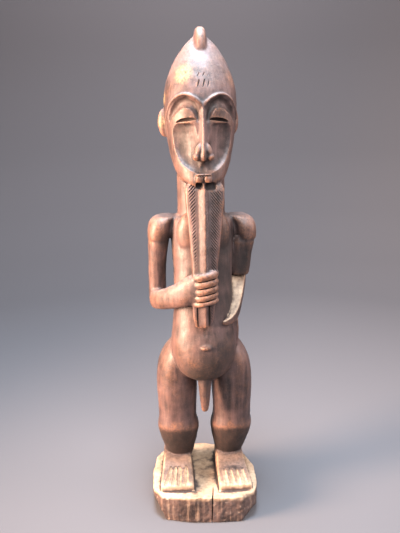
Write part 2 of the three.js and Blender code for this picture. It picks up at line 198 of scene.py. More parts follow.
# Shoulders and arms: soft caps with a flat top and a ledge below, joined by a yoke across the back. The
# right arm is carved free of the flank and bent up to the beard. The left lies along the flank, with a
# forearm planed flat on top that ends in a pointed hand.
for side in (-1, 1):
    pull(soft, standing([
        (292, side * 45, 10, -10, 21), (295, side * 45, 11.2, -12.6, 23.6),
        (300, side * 44.6, 11.7, -13.8, 25), (306.5, side * 43.8, 12.2, -14.6, 25.4),
        (312.6, side * 42, 12.4, -13.8, 24.4), (317, side * 38.6, 12, -11.4, 22),
        (319.6, side * 34, 9.5, -8, 17),
    ]), sides=24, square=2.6)
pull(soft, standing([
    (218, -47.2, 4.5, 4, 17), (220, -47.2, 7.2, 0.5, 21), (225, -47.2, 9, -2, 24), (236, -47.2, 9.4, -3, 25),
    (252, -47.2, 9.2, -4.6, 23.5), (268, -46.8, 9.2, -7, 22), (281, -46, 10, -9.6, 22),
    (290, -45.4, 10.8, -11.4, 23), (298, -44, 11.2, -11.8, 23),
]), sides=20, square=2.6)


def along(stations):
    """Frames along a path: each station is x, y, z, half width across and half height."""
    points = [Vector(station[:3]) for station in stations]
    frames = []
    for index, point in enumerate(points):
        ahead = (points[min(index + 1, len(points) - 1)] - points[max(index - 1, 0)]).normalized()
        across = ahead.cross(Vector((0, 0, 1))).normalized()
        facing = Matrix((across, across.cross(ahead), ahead)).transposed().to_4x4()
        size = Matrix.Diagonal((*stations[index][3:], 1, 1))
        frames.append(Matrix.Translation(point) @ facing @ size)
    return frames


pull(soft, along([
    (-44, 6, 306, 13, 10), (-36, 6, 307, 14, 11.4), (-20, 5, 308, 15, 12), (20, 5, 308, 15, 12),
    (36, 6, 307, 14, 11.4), (44, 6, 306, 13, 10),
]), sides=20, square=2.8)
pull(soft, along([
    (-48, 20, 229, 5, 6), (-48, 13, 229.5, 8, 9.5), (-47.4, 2, 231, 9, 10.2), (-45.5, -10, 233, 9.2, 10.4),
    (-40, -22, 236.5, 8.8, 10.8), (-31, -32, 241.5, 8.4, 11.6), (-21.5, -39.5, 246.5, 8.2, 13.2),
    (-12, -44, 252, 8.6, 15.2), (-3, -46, 255.6, 9, 15.6), (4, -46.4, 257, 8, 14.6),
    (7, -46, 257.2, 5, 11.5),
]), sides=20, square=2.5)
pull(hewn, standing([
    (255.5, 39.4, 8.6, -5, 24), (257, 39.6, 9.6, -6.2, 25), (266, 40, 10.4, -7.6, 25),
    (280, 40.6, 11, -9.4, 23.5), (291, 42.2, 11.6, -11.4, 23), (298, 43, 10.6, -11, 22),
]), sides=24, square=4)
pull(hewn, along([
    (39.4, 24, 262, 6, 5), (38.8, 14, 256, 8.6, 7), (37.6, 4, 247, 8.4, 7), (36, -6, 236.5, 6.6, 6.6),
    (34.4, -14, 228.5, 5.2, 6), (32.6, -21, 222.4, 4.2, 5.4), (29.6, -27.6, 218.2, 3.4, 4.8),
    (25, -33.4, 215.8, 2.8, 4), (20.6, -37.4, 215, 2, 3), (17.4, -39.6, 215.2, 1, 1.8),
]), sides=24, square=7)

# Fist: the right hand, closed around the front of the beard. The thumb lies on top and four fingers below
# it, each a rounded bar that gets thinner down the hand and is parted from the next with a knife.
FIST_TOP = 273.4
FIST_BOTTOM = 238
DIGITS = [7.6, 7.2, 6.8, 6.2, 5.6]
DIGIT_RISE = 3.6
digit_top = FIST_TOP - DIGIT_RISE
digit_gaps = []
for height in DIGITS:
    tall = height / 2
    z = digit_top - tall
    digit_top -= height
    digit_gaps.append(digit_top)
    pull(soft, along([
        (-12, -46, z - 1.6, 3, tall * 0.8), (-9, -49.5, z - 1, 4.4, tall * 1.1),
        (-5, -52.4, z, 4.6, tall * 1.12), (0, -53.8, z + DIGIT_RISE * 0.4, 4.2, tall),
        (5, -53.2, z + DIGIT_RISE * 0.75, 4.2, tall * 1.06), (8.4, -51, z + DIGIT_RISE, 4.2, tall * 1.05),
        (9.8, -46.5, z + DIGIT_RISE, 3.4, tall * 0.95), (9.8, -43, z + DIGIT_RISE, 2, tall * 0.7),
    ]), sides=14, square=2.5)

# Neck and head: a thick round neck under an egg-shaped head that comes to a point. A blunt comb, left
# standing from the same wood, runs over the crown from front to back.
HEAD_X = -1.5
pull(soft, standing([
    (306, -0.6, 24.6, -20.4, 26), (320, -0.7, 24.4, -20.2, 26), (345, -0.9, 24.2, -20, 26.6),
    (366, -1, 24.4, -20, 27.5), (384, -1.2, 22, -18, 26),
]), sides=28, square=2.1)
pull(soft, standing([
    (z, HEAD_X, half, front, back) for z, half, front, back in [
        (349.5, 6, -43, -26), (351.5, 11.5, -46.5, -19), (356, 19, -48, -9), (362, 23.6, -48, 4),
        (371, 27.6, -46.4, 17), (384, 31, -44, 27.5), (399, 33.4, -43.2, 33.2), (414, 34.9, -43.2, 36.6),
        (428, 35.7, -43.6, 38), (438, 35.3, -42.8, 37.6), (447, 33.7, -40.5, 35.8), (456, 30.8, -36.8, 32.6),
        (465, 27, -32, 28.6), (473, 22.6, -26.6, 24.2), (480.5, 17.4, -20.4, 19), (487, 11.6, -13.6, 13),
        (491.5, 6.4, -7.6, 7.4), (494, 2.4, -3, 3),
    ]
]), sides=36, square=2.25)
pull(soft, standing([
    (z, HEAD_X, half, front, back) for z, half, front, back in [
        (468, 6, -22.6, 27), (477, 6.2, -23.4, 26.5), (484, 6.2, -23.4, 23), (490, 6, -22.4, 19),
        (494.5, 5.4, -19.6, 14.5), (498, 4.4, -15.6, 9.5), (499.8, 2.8, -10.5, 5), (500.2, 1, -6, 1),
    ]
]), sides=20, square=4.2)

# Beard: a long flat board, hewn free of the neck and chest, that hangs from the chin and narrows through
# the fist to a square end. A sharp ridge runs down it, with a wide slope on the figure's right and a
# narrow one on its left.
BEARD = [
    (213.2, -2.8, 5, -48, -42.5), (215, -2.8, 7.6, -49.4, -41), (222, -2.6, 9.8, -50.6, -40),
    (236, -2, 11.2, -51.2, -39), (255, -1.2, 11.6, -51.6, -38), (280, -0.8, 13, -51.2, -37.5),
    (300, -0.4, 14.8, -50, -37), (320, -0.2, 16.8, -48.4, -36), (338, -0.2, 18.4, -46.6, -34.5),
    (349, -0.2, 19, -45, -33), (353, -0.2, 17.8, -43.8, -32), (357, -0.2, 14.6, -42, -30),
    (360, -0.2, 9, -40, -29),
]
RIDGE_RIGHT, RIDGE_TIP, RIDGE_LEFT = -9.2, -0.4, 3.4
RIDGE_SUNK = 1.5
RIDGE = [
    (214.2, -49.2, 2.6), (217, -50.2, 3.6), (236, -51.2, 4), (255, -51.6, 4), (280, -51.2, 4),
    (300, -50, 4.2), (320, -48.4, 4.4), (338, -46.6, 4.4), (350, -45, 4), (355, -44, 2.6),
]
# A ring of three equal sides in a circle of radius 1 is this wide and this deep
TRIANGLE_WIDE, TRIANGLE_DEEP = 2 * cos(pi / 6), 1.5
pull(hewn, standing(BEARD), sides=28, square=5)
ridge_middle = (RIDGE_RIGHT + RIDGE_TIP + RIDGE_LEFT) / 3
ridge_wide = (RIDGE_LEFT - RIDGE_RIGHT) / TRIANGLE_WIDE
ridge_frames = []
for z, face, rise in RIDGE:
    deep = (rise + RIDGE_SUNK) / TRIANGLE_DEEP
    ridge_frames.append(Matrix((
        (ridge_wide, RIDGE_TIP - ridge_middle, 0, ridge_middle),
        (0, -deep, 0, face - rise + deep),
        (0, 0, 1, z),
        (0, 0, 0, 1),
    )))
pull(hewn, ridge_frames, sides=3, square=2)
for masses in (soft, hewn):
    bmesh.ops.recalc_face_normals(masses, faces=masses.faces)

# The rough figure: all the masses are one piece of wood, so they are merged into one skin, the rounded ones
# smoothed first. Then the face is hollowed with a gouge below the brows, beside the nose and in the cheeks.
VOXEL = 0.7


def piece_from(name, *meshes):
    """One object from the meshes given, linked to the scene."""
    whole = bmesh.new()
    for mesh in meshes:
        whole.from_mesh(mesh)
    made = bpy.data.meshes.new(name)
    whole.to_mesh(made)
    whole.free()
    piece = bpy.data.objects.new(name, made)
    bpy.context.scene.collection.objects.link(piece)
    return piece


def mesh_of(bm):
    made = bpy.data.meshes.new("part")
    bm.to_mesh(made)
    bm.free()
    return made


def modify(piece, kind, **settings):
    modifier = piece.modifiers.new(kind, kind)
    for name, value in settings.items():
        setattr(modifier, name, value)


def settle(piece):
    """Applies a piece's modifiers to its mesh."""
    graph = bpy.context.evaluated_depsgraph_get()
    finished = bpy.data.meshes.new_from_object(piece.evaluated_get(graph))
    piece.modifiers.clear()
    piece.data = finished
    return finished


def drop(*pieces):
    for piece in pieces:
        bpy.data.objects.remove(piece)


rounded = piece_from("rounded_masses", mesh_of(soft))
modify(rounded, "SUBSURF", levels=2, render_levels=2)
modify(rounded, "REMESH", mode="VOXEL", voxel_size=VOXEL)
modify(rounded, "SMOOTH", factor=0.5, iterations=14)
rough = piece_from("rough_figure", settle(rounded), mesh_of(hewn))
modify(rough, "REMESH", mode="VOXEL", voxel_size=VOXEL)
settle(rough)

BESIDE_NOSE = [
    (411.4, 14.6, 11.5, -38.6), (409.6, 14.8, 13.6, -37.2), (405, 14.8, 14.4, -36.4), (398, 14, 14.4, -36),
    (390, 12.4, 13.8, -36.4), (382, 10, 13, -37.6), (375, 7, 11.8, -39.6), (369, 3.6, 9.8, -42.6),
    (365.4, 1.2, 6.8, -46.2), (363.8, 0, 4, -48.6),
]
CHEEK = [
    (411, 20.5, 8, -34.5), (408, 19.5, 13, -33), (403, 18.5, 16, -32), (396, 17.6, 16, -32.2),
    (388, 16, 14.6, -33.2), (380, 13.4, 12.4, -35.6), (374, 10.8, 9.6, -38.4), (370, 8.6, 6.4, -41.4),
    (368, 7.6, 4, -43),
]
CHEEK_REACH = 13
EYE_SOCKET = [
    (4.4, -45, 411, 2, 1.2), (4.8, -45, 415, 4, 2.2), (6.4, -45, 422, 5.4, 3.2), (10.4, -44.2, 428, 6, 4.6),
    (17, -41.6, 431, 6, 5.6), (23.6, -36.8, 428.4, 5.4, 5), (28.6, -30.4, 422, 4.4, 3.8),
    (31.4, -25, 415, 2.8, 2.4), (32, -23, 411.5, 1.2, 1.2),
]
UNDER_NOSE = (HEAD_X, -54, 371.6)
UNDER_TEETH = [(-5.6, 3.4, 350.6), (5.4, 5.6, 348.6)]
hollows = bmesh.new()
for side in (-1, 1):
    for hollow, turn in ((BESIDE_NOSE, 0.38), (CHEEK, 0.58)):
        pull(hollows, [
            Matrix.Translation((HEAD_X + side * x, back, z))
            @ Matrix.Rotation(side * turn, 4, "Z")
            @ Matrix.Translation((0, -CHEEK_REACH, 0))
            @ Matrix.Diagonal((half, CHEEK_REACH, 1, 1))
            for z, x, half, back in hollow
        ], sides=32, square=2.4)
    pull(hollows, along([
        (HEAD_X + side * x, y, z, wide, tall) for x, y, z, wide, tall in EYE_SOCKET
    ]), sides=24)
ball(hollows, UNDER_NOSE, (11, 12, 9), detail=32)
for x, half, low in UNDER_TEETH:
    pull(hollows, lying([
        (-58, x, half, low, 357.8), (-45, x, half, low, 357.6), (-41.6, x, half * 0.8, low + 1.4, 356.6),
    ]), sides=24, square=3)
bmesh.ops.recalc_face_normals(hollows, faces=hollows.faces)
hollowing = piece_from("hollows", mesh_of(hollows))
modify(hollowing, "REMESH", mode="VOXEL", voxel_size=VOXEL)
settle(hollowing)
modify(rough, "BOOLEAN", operation="DIFFERENCE", solver="MANIFOLD", object=hollowing)
settle(rough)
drop(rounded, hollowing)

# Features of the face, left standing when it was hollowed: thin brows that meet in the nose, a nose with
# flared wings, a thin lip over two blocks of teeth, and plain oval ears. Each lid is what its socket leaves.
BROW = [
    (0, -41, 425, 1.6, 2.4), (0.8, -43.2, 428, 2, 2.4), (4.5, -43.8, 432, 1.9, 1.7),
    (10, -43, 436.2, 1.9, 1.5), (17, -40, 438.6, 1.9, 1.4), (24, -34.8, 436.2, 1.9, 1.4),
    (29.5, -28, 430, 1.8, 1.4), (32.8, -21.5, 421.5, 1.7, 1.4), (33.8, -17.5, 413, 1.2, 1.2),
]
NOSE = [
    (376.8, 5, -49, -34), (378, 7, -52, -30), (381, 8, -54, -26), (385, 7.6, -54, -24), (390, 6.8, -53, -23),
    (398, 6.2, -51.4, -22), (408, 5.6, -49, -23), (420, 4.8, -46.6, -26), (429, 4, -45, -30),
    (434, 2.8, -43.4, -33),
]
LIP = [
    (-8, -47.6, 363.4, 1, 0.6), (-6, -49.4, 364.6, 1.6, 0.9), (-3, -50.6, 365, 1.8, 1),
    (0, -50.8, 364.8, 1.8, 0.9), (3, -50.6, 365, 1.8, 1), (6, -49.4, 364.6, 1.6, 0.9),
    (8, -47.6, 363.4, 1, 0.6),
]
TOOTH = [(357, 3, -50.2), (357.8, 3.9, -51.6), (362.6, 3.9, -52), (363.6, 3, -51)]
TOOTH_OUT, TOOTH_BACK = 4, -43
EAR = [
    (397, -3, 2, 2), (399, -1, 4, 4), (405, 0.6, 5, 5.4), (412, 1.2, 5.2, 6), (419, 0.8, 5, 5.6),
    (424, -1, 4, 4), (426, -3, 2, 2),
]
EARS = [(-1, 35.5, 4), (1, 33.5, 11)]
features = bmesh.new()
for side in (-1, 1):
    pull(features, along([(HEAD_X + side * x, y, z, wide, tall) for x, y, z, wide, tall in BROW]), sides=12)
pull(features, standing([
    (z, HEAD_X, half, front, back) for z, half, front, back in NOSE
]), sides=24, square=1.2)
for side in (-1, 1):
    nostril = (HEAD_X + side * 6.4, -46.6, 381)
    wing = (HEAD_X + side * 4.6, -46.4, 386)
    ball(features, nostril, (4.3, 5, 3.8), detail=16)
    ball(features, wing, (4, 5, 8), turn=(0, side * -0.3, 0), detail=16)
pull(features, along([(HEAD_X + x, y, z, wide, tall) for x, y, z, wide, tall in LIP]), sides=14)
for side in (-1, 1):
    pull(features, standing([
        (z, HEAD_X + side * TOOTH_OUT, half, front, TOOTH_BACK) for z, half, front in TOOTH
    ]), sides=16, square=4)
for side, out, middle in EARS:
    pull(features, standing([
        (z, HEAD_X + side * (out + lean), half, middle - deep, middle + deep) for z, lean, half, deep in EAR
    ]), sides=14)
bmesh.ops.recalc_face_normals(features, faces=features.faces)
featured = piece_from("features", mesh_of(features))
modify(featured, "SUBSURF", levels=2, render_levels=2)
figure = piece_from("carved_figure_wood", rough.data, settle(featured))
modify(figure, "REMESH", mode="VOXEL", voxel_size=VOXEL)
modify(figure, "SMOOTH", factor=0.5, iterations=3)
settle(figure)
base = figure.vertex_groups.new(name="base")
base.add([vert.index for vert in figure.data.vertices if 1 < vert.co.z < BASE_TOP - 0.5], 1, "REPLACE")
uneven = bpy.data.textures.new("hand_carving", "CLOUDS")
uneven.noise_scale = 9
modify(figure, "DISPLACE", texture=uneven, strength=0.7, texture_coords="LOCAL")
hacked = bpy.data.textures.new("hacked_base", "CLOUDS")
hacked.noise_scale = 5
hacked.noise_depth = 3
modify(figure, "DISPLACE", texture=hacked, strength=2.2, texture_coords="LOCAL", vertex_group="base")
drop(rough, featured)
for vert in settle(figure).vertices:
    vert.co.z = max(vert.co.z, 0)

# Fine carving, cut with a knife point into the finished form: hatching on the beard, marks on the forehead,
# the mouth, the spine, the eye slits, and the gaps between the fingers and between the toes. The drying
# crack in the base is cut in the same way. Cuts that cross others are in a second set.
knife = bmesh.new()
second_knife = bmesh.new()
INTO_FRONT = Vector((0, 1, 0))
INTO_TOP = Vector((0, 0, -1))


def stroke(start, end, width, depth, into=INTO_FRONT, bm=knife):
    """A knife cut between two points: a long lens, pointed at both ends."""
    start, end = Vector(start), Vector(end)
    ahead = (end - start).normalized()
    across = ahead.cross(into).normalized()
    facing = Matrix((ahead, across, ahead.cross(across))).transposed().to_4x4()
    size = Matrix.Diagonal(((end - start).length / 2, width / 2, depth, 1))
    matrix = Matrix.Translation((start + end) / 2) @ facing @ size
    bmesh.ops.create_uvsphere(bm, u_segments=8, v_segments=6, radius=1, matrix=matrix)


def drawn(z, table):
    """A value read off a table of heights, straight between its rows."""
    heights, values = zip(*table)
    return float(np.interp(z, heights, values))


beard_right = [(z, middle - half) for z, middle, half, front, back in BEARD]
beard_left = [(z, middle + half) for z, middle, half, front, back in BEARD]
beard_face = [(z, front) for z, middle, half, front, back in BEARD]
HATCH_LOW, HATCH_HIGH, HATCH_STEP = 216, 371, 3.1
HATCH_SLOPE = 1.25
HATCH_TOP = 350
for z in np.arange(HATCH_LOW, HATCH_HIGH, HATCH_STEP):
    # No stroke starts behind the fist
    if FIST_BOTTOM < z < FIST_TOP - 0.4:
        continue
    from_top = min(z, HATCH_TOP)
    left_edge = drawn(from_top, beard_left) - 0.2
    above_top = (z - from_top) / HATCH_SLOPE
    fall = (left_edge - RIDGE_LEFT) * HATCH_SLOPE
    stroke(
        (RIDGE_LEFT + 0.4 + above_top, drawn(from_top, beard_face) - 0.1, from_top),
        (left_edge, drawn(z - fall, beard_face) + 0.4, z - fall), 1.3, 0.9,
    )
    if z > HATCH_TOP or z < FIST_BOTTOM:
        continue
    right_edge = drawn(z, beard_right) + 1.6
    rise = (RIDGE_RIGHT - right_edge) * HATCH_SLOPE
    stroke(
        (right_edge, drawn(z, beard_face) - 0.1, z),
        (RIDGE_RIGHT + 0.8, drawn(z + rise, beard_face) - 0.4, z + rise), 1.7, 1.3,
    )
    stroke(
        (RIDGE_TIP + 0.6, drawn(z, beard_face) - 3.2, z),
        (RIDGE_LEFT - 0.4, drawn(z, beard_face) - 0.6, z + 5), 1.4, 1,
    )
stroke((RIDGE_LEFT - 0.6, -52.4, 246), (RIDGE_LEFT - 0.2, -49.6, 208), 2.4, 3.6, bm=second_knife)
stroke((RIDGE_RIGHT + 0.2, -51.6, 246), (RIDGE_RIGHT + 1.2, -49.6, 208), 1.6, 2.4, bm=second_knife)
FOREHEAD = [(442, -41.7), (447, -40.2), (452, -38.3), (456, -36.5), (460, -34.5)]
FOREHEAD_MARKS = [(451.6, 443.4, 1.7, 1.1), (457.6, 453, 1.3, 0.7)]
for x in (-5.4, -0.4, 4):
    for top, bottom, width, depth in FOREHEAD_MARKS:
        stroke((x + 1, drawn(top, FOREHEAD), top), (x - 1, drawn(bottom, FOREHEAD), bottom), width, depth)
for z in digit_gaps[:-1]:
    stroke((-10.6, -52, z - 1), (11, -54.4, z + DIGIT_RISE), 2.2, 5)
MOUTH = 363.8
stroke((HEAD_X - 9, -50.6, MOUTH), (HEAD_X + 9, -50.6, MOUTH), 1.5, 3.4)
stroke((HEAD_X, -51.6, 367), (HEAD_X, -51.6, 354), 1.4, 2.6, bm=second_knife)
TOES_RIGHT = [(-43.4, -37.6), (-35.6, -32.4), (-29.4, -28), (-21.4, -20.8)]
TOES_LEFT = [(21.8, 20.8), (28.4, 27.4), (34.8, 34), (41.8, 40.4)]
for grooves, back, front in ((TOES_RIGHT, -15, -49), (TOES_LEFT, -20, -53)):
    for x_front, x_back in grooves:
        pull(knife, along([
            (x_back, back, 42.2, 0.8, 0.8), (x_back, back - 4, 40.9, 1.9, 1.8),
            (x_front, front + 8, 37.4, 2.2, 2.0), (x_front, front, 36, 2.2, 2.2),
        ]), sides=10, square=3)
stroke((7.6, -34, BASE_TOP), (4.6, -64, BASE_TOP), 1.2, 7, INTO_TOP)
stroke((5.2, -57.6, 40), (4, -57.6, -14), 1.4, 7, bm=second_knife)
SPINE = [
    (200, 0, 0.4, 20.6, 24), (216, 0, 1.6, 18.8, 24), (232, 0, 1.7, 18.7, 24), (250, 0, 1.7, 20.7, 26),
    (268, 0, 1.7, 23.7, 29), (286, 0, 1.5, 27.3, 32), (298, 0, 0.4, 29.4, 33),
]
pull(knife, standing(SPINE), sides=12)
bmesh.ops.recalc_face_normals(knife, faces=knife.faces)
cutters = [piece_from("knife_cuts", mesh_of(knife)), piece_from("crossing_cuts", mesh_of(second_knife))]
slits = []
for side in (-1, 1):
    slit = bmesh.new()
    lean = side * 0.14
    eye = (HEAD_X + side * 18, -42, 412.8)
    ball(slit, eye, (14.6, 8.4, 4), turn=(0, lean, side * 0.4), detail=24)
    bmesh.ops.bisect_plane(
        slit, geom=all_of(slit), plane_co=eye, plane_no=(sin(lean), 0, cos(lean)), clear_inner=True
    )
    bmesh.ops.holes_fill(slit, edges=slit.edges)
    slits.append(mesh_of(slit))
cutters.append(piece_from("eye_slits", *slits))
UNCUT_TRIANGLES = 150000
modify(figure, "DECIMATE", ratio=UNCUT_TRIANGLES / (2 * len(figure.data.polygons)))
settle(figure)
uncut = BVHTree.FromObject(figure, bpy.context.evaluated_depsgraph_get())
for cutter in cutters:
    modify(figure, "BOOLEAN", operation="DIFFERENCE", solver="MANIFOLD", object=cutter)
settle(figure)
drop(*cutters)

# Slivers left along the edges of the cuts are closed up.
SLIVER = 0.005
trimmed = bmesh.new()
trimmed.from_mesh(figure.data)
bmesh.ops.triangulate(trimmed, faces=trimmed.faces)
bmesh.ops.remove_doubles(trimmed, verts=trimmed.verts, dist=SLIVER)
bmesh.ops.dissolve_degenerate(trimmed, edges=trimmed.edges, dist=SLIVER)
trimmed.to_mesh(figure.data)
trimmed.free()

# Patina: a dark reddish-brown coat of oil and handling on the wood, with a soft sheen. It is rubbed lighter
# on proud edges, dirt has settled in the cuts and hollows, and the base shows pale bare wood. Painted light
# is
# mixed in: painted shade round the feet, under the knees and in dark patches on the shaded sides, a painted
# highlight on top of the left forearm, and pale dust with a painted highlight on surfaces that face up.
wood_mesh = figure.data


def read_field(items, field, width, kind=float):
    values = np.empty(len(items) * width, kind)
    items.foreach_get(field, values)
    return values.reshape(-1, width)


places = read_field(wood_mesh.vertices, "co", 3)
facing = read_field(wood_mesh.vertex_normals, "vector", 3)
pairs = read_field(wood_mesh.edges, "vertices", 2, int)
neighbours = np.bincount(pairs.ravel())[:, None]


def evened(values, rounds):
    """Values averaged again and again with their neighbours along the edges of the mesh."""
    for _ in range(rounds):
        totals = np.zeros_like(values)
        np.add.at(totals, pairs[:, 0], values[pairs[:, 1]])
        np.add.at(totals, pairs[:, 1], values[pairs[:, 0]])
        values = totals / neighbours
    return values


def between(values, low, high):
    return np.clip((values - low) / (high - low), 0, 1)


FOOT_TOP, SHIN_TOP = 48, 84
CRACK_X = 5.8
x, y, z = places.T
proud = ((places - evened(places, 10)) * facing).sum(axis=1)
cut = between(np.array([uncut.find_nearest(place)[3] for place in places]), 0.1, 0.7)
upward = between(facing[:, 2], 0.2, 0.7)
crack = (np.abs(x - CRACK_X) < 4) & (y < -30) & (z < BASE_TOP + 2)
foot_and_base = between(z, FOOT_TOP + 1.5, FOOT_TOP - 1.5)
on_foot = 0.05 + 0.1 * upward + 0.6 * between(proud, 0.3, 0.8)
on_side = 0.06 + 0.8 * between(z, BASE_TOP - 4.5, BASE_TOP - 1)
on_base = between(z, BASE_TOP + 2, BASE_TOP + 0.5)
side_of_base = between(z, BASE_TOP, BASE_TOP - 2) * (1 - upward)
# Painted shade: a dark line in the concave crease where the feet meet the base, taken off the bare wood.
shade_around_foot = between(-proud, 0.05, 0.35) * (1 - cut) * foot_and_base * between(z, BASE_TOP - 3, BASE_TOP)
bare_wood_and_highlight = foot_and_base * np.maximum(np.where(z > BASE_TOP + 1, on_foot, on_side), on_base * upward)
bare_wood_and_highlight = np.where(crack, bare_wood_and_highlight * (1 - cut), np.maximum(bare_wood_and_highlight, foot_and_base * cut))
bare_wood_and_highlight *= 1 - shade_around_foot
# Painted highlight: the top of the left forearm, where it faces up and forward, is made pale as if lit from
# above,
forearm = (x > 15) & (z > 212) & (z < 258) & (y < 12)
# and carried along with the bare wood.
forearm_top_highlight = forearm * between(facing[:, 2], 0.25, 0.5) * between(-facing[:, 1], 0.1, 0.4)
bare_wood_and_highlight = np.maximum(bare_wood_and_highlight, 0.7 * forearm_top_highlight)
worn = between(proud, 0.3, 1.2) * (1 - foot_and_base)
dirt_and_shade = np.maximum(cut, between(-proud, 0.15, 0.8)) * (1 - foot_and_base)
dirt_and_shade = np.where(crack, cut, np.maximum(dirt_and_shade, shade_around_foot))
# Painted shade: surfaces below the knees that face down are darkened.
shade_under_knee = between(z, SHIN_TOP + 8, SHIN_TOP) * (1 - foot_and_base) * between(-facing[:, 2], -0.05, 0.3)
dirt_and_shade = np.maximum(dirt_and_shade, 0.92 * shade_under_knee)
OCHRE_MARKS = [((-20, -32, 457), 12), ((-35, -8, 434), 7), ((-38, 2, 412), 7)]
# Painted shade: dark patches under the belly, on the figure's left flank beside the beard and on the inner
# sides
PAINTED_SHADE_MARKS = [
    # of the arms.
    ((6, -42, 162), 36), ((-10, -38, 158), 28), ((22, -34, 178), 26), ((24, -28, 232), 26),
    ((24, -26, 262), 28), ((24, -24, 290), 24), ((44, -8, 270), 30), ((-40, 4, 270), 16),
    ((-37, -6, 295), 14),
]
RUBBED_MARKS = [
    ((-33, -18, 92), 6), ((-26, -18, 94), 4), ((28, -18, 92), 5), ((40, -12, 95), 5), ((-53, -6, 294), 6),
    ((-45, -12, 226), 9), ((-12, -40, 172), 9), ((54, -2, 303), 6), ((36, -16, 168), 8),
    ((27, -22, 452), 12),
]


def marked(marks):
    """One at the middle of each mark, falling to nothing at its reach."""
    amount = np.zeros(len(places))
    for place, reach in marks:
        amount = np.maximum(amount, between(np.linalg.norm(places - place, axis=1), reach, reach * 0.3))
    return amount


ochre = marked(OCHRE_MARKS)
worn = np.maximum(worn, 0.8 * marked(RUBBED_MARKS))
dirt_and_shade = np.maximum(dirt_and_shade, 0.9 * marked(PAINTED_SHADE_MARKS) * (1 - bare_wood_and_highlight))
states = {
    "bare_wood_and_highlight": bare_wood_and_highlight, "dirt_and_shade": dirt_and_shade, "worn": worn, "ochre": ochre, "upward": upward, "side": side_of_base,
}
for name, values in states.items():
    layer = wood_mesh.attributes.new(name, "FLOAT", "POINT")
    layer.data.foreach_set("value", values)

wood = bpy.data.materials.new("patinated_wood")
wood.use_nodes = True
nodes, links = wood.node_tree.nodes, wood.node_tree.links
shader = nodes["Principled BSDF"]


def put(socket, value):
    """Sets a socket to a value, or links it when the value is itself a socket."""
    if isinstance(value, bpy.types.NodeSocket):
        links.new(value, socket)
    else:
        socket.default_value = value


def node(kind, out, **inputs):
    """Adds a node with the inputs given, and returns one of its outputs."""
    made = nodes.new(kind)
    for name, value in inputs.items():
        put(made.inputs[name.replace("_", " ")], value)
    return made.outputs[out]


def attribute(name):
    made = nodes.new("ShaderNodeAttribute")
    made.attribute_name = name
    return made.outputs["Fac"]


def combined(operation, first, second):
    made = nodes.new("ShaderNodeMath")
    made.operation = operation
    put(made.inputs[0], first)
    put(made.inputs[1], second)
    return made.outputs[0]


def blend(amount, under, over):
    made = nodes.new("ShaderNodeMix")
    made.data_type = "RGBA"
    for socket, value in ((0, amount), (6, under), (7, over)):
        put(made.inputs[socket], value)
    return made.outputs[2]


def spread(value, low, high, least=0.0, most=1.0):
    """A value between low and high, brought to between least and most."""
    return node(
        "ShaderNodeMapRange", "Result",
        Value=value, From_Min=low, From_Max=high, To_Min=least, To_Max=most,
    )


def colour(red, green, blue):
    return (red, green, blue, 1)


DARK_COAT = colour(0.021, 0.0125, 0.012)
BROWN_COAT = colour(0.118, 0.067, 0.060)
DUST_AND_TOP_HIGHLIGHT = colour(0.42, 0.34, 0.31)
RUBBED_COAT = colour(0.28, 0.125, 0.065)
SCUFF = colour(0.30, 0.20, 0.16)
OCHRE = colour(0.46, 0.30, 0.13)
OLD_WOOD = colour(0.26, 0.16, 0.095)
PALE_WOOD = colour(0.62, 0.45, 0.30)
DIRT_AND_SHADE = colour(0.010, 0.007, 0.006)
on_wood = node("ShaderNodeTexCoord", "Object")
stretched = node("ShaderNodeMapping", "Vector", Vector=on_wood, Scale=(260, 260, 18))
streaks = node("ShaderNodeTexNoise", "Fac", Vector=stretched, Scale=1.0, Detail=6.0, Roughness=0.6)
patches = node("ShaderNodeTexNoise", "Fac", Vector=on_wood, Scale=32.0, Detail=6.0, Roughness=0.6)
specks = node("ShaderNodeTexNoise", "Fac", Vector=on_wood, Scale=480.0, Detail=3.0, Roughness=0.6)
tone = combined("ADD", combined("MULTIPLY", patches, 0.6), combined("MULTIPLY", streaks, 0.4))
patina = blend(spread(tone, 0.4, 0.62), DARK_COAT, BROWN_COAT)
# Pale dust on surfaces that face up, which also stands in for a painted highlight of light from above.
dust_and_top_highlight = combined("MULTIPLY", attribute("upward"), spread(specks, 0.36, 0.66, 0.08, 0.26))
patina = blend(dust_and_top_highlight, patina, DUST_AND_TOP_HIGHLIGHT)
rubbed = combined("MULTIPLY", attribute("worn"), spread(specks, 0.35, 0.62, 0.15, 0.75))
patina = blend(rubbed, patina, RUBBED_COAT)
scuffs = node("ShaderNodeTexNoise", "Fac", Vector=on_wood, Scale=1100.0, Detail=2.0, Roughness=0.5)
patina = blend(spread(scuffs, 0.62, 0.72, 0.0, 0.32), patina, SCUFF)
yellowed = combined("MULTIPLY", attribute("ochre"), spread(specks, 0.3, 0.7, 0.1, 0.9))
patina = blend(yellowed, patina, OCHRE)
stripped = blend(spread(tone, 0.36, 0.62), OLD_WOOD, PALE_WOOD)
bareness_and_highlight = combined("MULTIPLY", attribute("bare_wood_and_highlight"), spread(tone, 0.36, 0.54, 0.72, 1.2))
chopped = combined("MULTIPLY", attribute("side"), spread(streaks, 0.5, 0.66, 0.0, 0.34))
bareness_and_highlight = combined("MAXIMUM", bareness_and_highlight, chopped)
surface = blend(bareness_and_highlight, patina, stripped)
